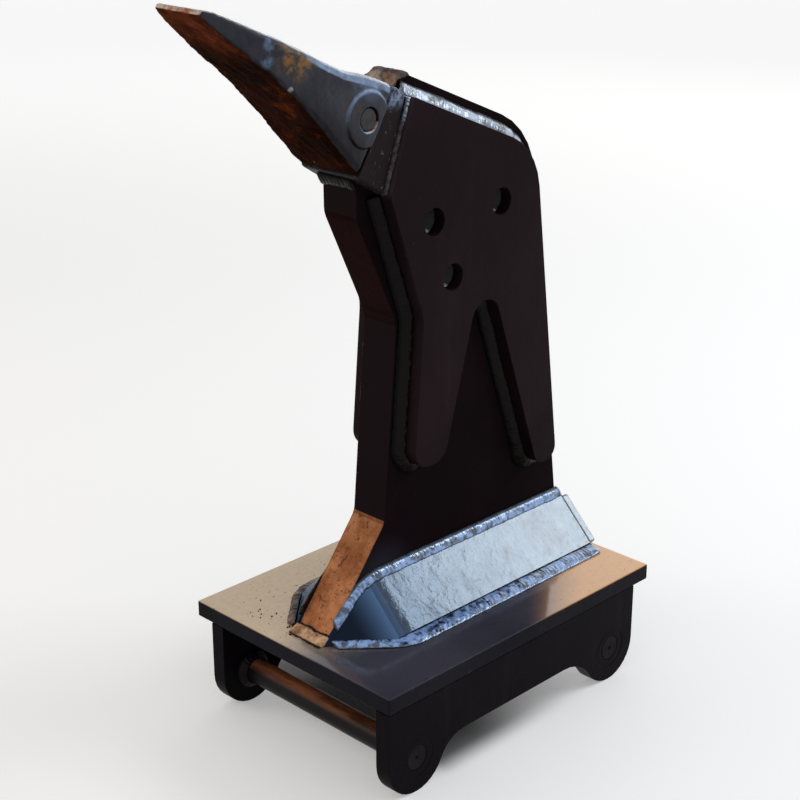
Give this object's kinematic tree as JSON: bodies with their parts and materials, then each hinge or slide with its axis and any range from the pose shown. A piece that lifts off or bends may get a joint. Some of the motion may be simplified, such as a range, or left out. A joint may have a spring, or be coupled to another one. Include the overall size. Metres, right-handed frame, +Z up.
{
  "type": "excavator ripper",
  "caption": "Welded ripper shank with a chisel tooth on a base plate, carried on quick-hitch ears and cross bars, standing with its tooth up.",
  "frame": {"origin": "middle of the bounding box at the height that the ears' lobes stand on", "axes": "+Z up along the shank, X across the base plate, and the tooth points towards -Y"},
  "size_m": [0.32, 0.5656, 0.8508],
  "materials": {
    "black_paint": "gloss black paint",
    "painted_weld": "gloss black paint over weld beads",
    "adapter_steel": "thin black paint over a casting",
    "tooth_steel": "dark cast steel with light rust",
    "pin_steel": "dark steel",
    "rusty_weld": "worn paint with light rust"
  },
  "bodies": {
    "root": {"adapter": "adapter_steel", "adapter_bottom_weld": "painted_weld", "adapter_side_weld_left": "painted_weld", "adapter_side_weld_right": "painted_weld", "adapter_top_weld": "rusty_weld", "bar_fillet_weld_front_left": "painted_weld", "bar_fillet_weld_front_right": "painted_weld", "bar_fillet_weld_rear_left": "painted_weld", "bar_fillet_weld_rear_right": "painted_weld", "bar_ring_weld_front_left": "painted_weld", "bar_ring_weld_front_right": "painted_weld", "bar_ring_weld_rear_left": "painted_weld", "bar_ring_weld_rear_right": "painted_weld", "base_plate": "black_paint", "cheek_plate_left": "black_paint", "cheek_plate_right": "black_paint", "cheek_weld_left": "painted_weld", "cheek_weld_right": "painted_weld", "ear_plate_left": "black_paint", "ear_plate_right": "black_paint", "ear_weld_left": "painted_weld", "ear_weld_outer_left": "painted_weld", "ear_weld_right": "painted_weld", "foot_weld_front": "rusty_weld", "foot_weld_rear": "painted_weld", "gusset_bottom_weld_left": "painted_weld", "gusset_bottom_weld_right": "painted_weld", "gusset_end_left": "black_paint", "gusset_end_right": "black_paint", "gusset_plate_left": "black_paint", "gusset_plate_right": "black_paint", "gusset_rear_weld_left": "painted_weld", "gusset_rear_weld_right": "painted_weld", "gusset_top_weld_left": "painted_weld", "gusset_top_weld_right": "painted_weld", "hitch_bar_front": "black_paint", "hitch_bar_rear": "black_paint", "plug_weld_left_1": "painted_weld", "plug_weld_left_2": "painted_weld", "plug_weld_left_3": "painted_weld", "plug_weld_right_1": "painted_weld", "plug_weld_right_2": "painted_weld", "plug_weld_right_3": "painted_weld", "shank_core": "black_paint", "tooth": "tooth_steel", "tooth_pin": "pin_steel", "tooth_retainer": "pin_steel"}
  },
  "joints": []
}
